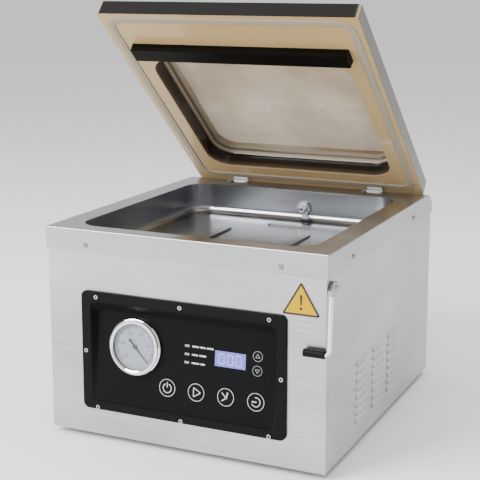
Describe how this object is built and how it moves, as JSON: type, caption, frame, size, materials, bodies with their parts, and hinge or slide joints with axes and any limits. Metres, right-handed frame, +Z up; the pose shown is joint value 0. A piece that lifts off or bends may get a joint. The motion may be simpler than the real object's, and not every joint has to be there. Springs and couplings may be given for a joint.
{
  "type": "vacuum chamber sealer",
  "caption": "Table-top vacuum chamber sealer with a raised clear domed lid, deep chamber with seal bar, tilted key panel with round gauge, side louvres and a hold-down lever.",
  "frame": {"origin": "on the standing surface under the middle of the part's extents", "axes": "+Z up, -Y towards the operator (control panel), +X to the right (louvred side)"},
  "size_m": [0.379, 0.4312, 0.5356],
  "materials": {
    "steel_front": "brushed, horizontal grain",
    "steel_deck": "satin",
    "steel_tub": "bright satin",
    "zinc_steel": "zinc plated",
    "screw_steel": "plated",
    "foot_rubber": "matt",
    "black_plastic": "matt",
    "gloss_black": "gloss",
    "display_panel": "gloss",
    "lamp_amber": "gloss",
    "board_green": "satin",
    "black_steel": "satin",
    "polished_chrome": "polished",
    "dial_white": "matt",
    "clear_glass": "clear",
    "spring_steel": "satin",
    "nickel_brass": "nickel plated",
    "cast_alloy": "satin",
    "warning_yellow": "gloss",
    "pump_iron": "painted",
    "core_steel": "varnished",
    "valve_brass": "satin",
    "hose_rubber": "matt",
    "copper_tube": "satin",
    "key_black": "gloss",
    "needle_black": "matt",
    "lid_clear": "clear",
    "silicone_white": "satin",
    "counter_black": "satin",
    "counter_silicone": "satin",
    "bar_alloy": "satin",
    "element_nichrome": "bright",
    "tape_brown": "coated cloth",
    "lever_steel": "satin",
    "grip_black": "satin",
    "fan_plastic": "matt"
  },
  "bodies": {
    "housing": {"housing_shell": "steel_front", "base_plate": "zinc_steel", "rear_panel": "steel_front", "deck_cover": "steel_deck", "chamber_tub": "steel_tub", "cover_screws": "screw_steel", "rubber_feet": "foot_rubber", "foot_screws": "zinc_steel", "panel_frame": "black_plastic", "frame_screws": "screw_steel", "control_face": "gloss_black", "display_window": "display_panel", "status_lights": "lamp_amber", "circuit_board": "board_green", "gauge_case": "black_steel", "gauge_bezel": "polished_chrome", "gauge_dial": "dial_white", "gauge_glass": "clear_glass", "hinge_shaft": "screw_steel", "shaft_brackets": "zinc_steel", "balance_springs": "spring_steel", "vacuum_port": "nickel_brass", "lift_cylinders": "cast_alloy", "lever_screw": "screw_steel", "warning_plate": "warning_yellow", "mains_inlet": "black_plastic", "pump_body": "pump_iron", "pump_motor": "pump_iron", "fan_cover": "black_steel", "transformer": "core_steel", "solenoid_valves": "valve_brass", "vacuum_hose": "hose_rubber", "gauge_tube": "copper_tube", "power_board": "board_green"},
    "key_power": {"key_power": "key_black"},
    "key_start": {"key_start": "key_black"},
    "key_stop": {"key_stop": "key_black"},
    "key_timer": {"key_timer": "key_black"},
    "key_up": {"key_up": "key_black"},
    "key_down": {"key_down": "key_black"},
    "gauge_needle": {"gauge_needle": "needle_black"},
    "lid": {"lid_panel": "lid_clear", "lid_gasket": "silicone_white", "counter_holder": "counter_black", "counter_strip": "counter_silicone", "hinge_arms": "cast_alloy", "lid_bolts": "screw_steel"},
    "seal_bar": {"seal_bar": "bar_alloy", "heating_element": "element_nichrome", "seal_tape": "tape_brown", "seal_terminals": "valve_brass", "lift_rods": "screw_steel"},
    "lever": {"lever_hub": "lever_steel", "lever_rod": "polished_chrome", "lever_grip": "grip_black"},
    "motor_fan": {"motor_fan": "fan_plastic"}
  },
  "joints": [
    {"name": "lid_hinge", "type": "hinge", "parent": "housing", "child": "lid", "pos_m": [0, 0.187, 0.247], "axis": [1, 0, 0], "range_deg": [0, 40.9]},
    {"name": "lever_pivot", "type": "hinge", "parent": "housing", "child": "lever", "pos_m": [0.187, -0.1955, 0.2275], "axis": [-1, 0, 0], "range_deg": [0, 198]},
    {"name": "seal_bar_lift", "type": "slide", "parent": "housing", "child": "seal_bar", "axis": [0, 0, 1], "range_m": [0, 0.006]},
    {"name": "gauge_needle_spin", "type": "hinge", "parent": "housing", "child": "gauge_needle", "pos_m": [-0.064, -0.20169, 0.12599], "axis": [0, -0.9958, 0.0917], "range_deg": [0, 270], "stiffness_Nm_per_rad": 0.000002},
    {"name": "fan_spin", "type": "hinge", "parent": "housing", "child": "motor_fan", "pos_m": [0.07, 0.088, 0.092], "axis": [1, 0, 0], "continuous": true},
    {"name": "key_power_press", "type": "slide", "parent": "housing", "child": "key_power", "axis": [0, 0.9958, -0.0917], "range_m": [0, 0.0004], "stiffness_N_per_m": 2500},
    {"name": "key_start_press", "type": "slide", "parent": "housing", "child": "key_start", "axis": [0, 0.9958, -0.0917], "range_m": [0, 0.0004], "stiffness_N_per_m": 2500},
    {"name": "key_stop_press", "type": "slide", "parent": "housing", "child": "key_stop", "axis": [0, 0.9958, -0.0917], "range_m": [0, 0.0004], "stiffness_N_per_m": 2500},
    {"name": "key_timer_press", "type": "slide", "parent": "housing", "child": "key_timer", "axis": [0, 0.9958, -0.0917], "range_m": [0, 0.0004], "stiffness_N_per_m": 2500},
    {"name": "key_up_press", "type": "slide", "parent": "housing", "child": "key_up", "axis": [0, 0.9958, -0.0917], "range_m": [0, 0.0004], "stiffness_N_per_m": 2500},
    {"name": "key_down_press", "type": "slide", "parent": "housing", "child": "key_down", "axis": [0, 0.9958, -0.0917], "range_m": [0, 0.0004], "stiffness_N_per_m": 2500}
  ]
}
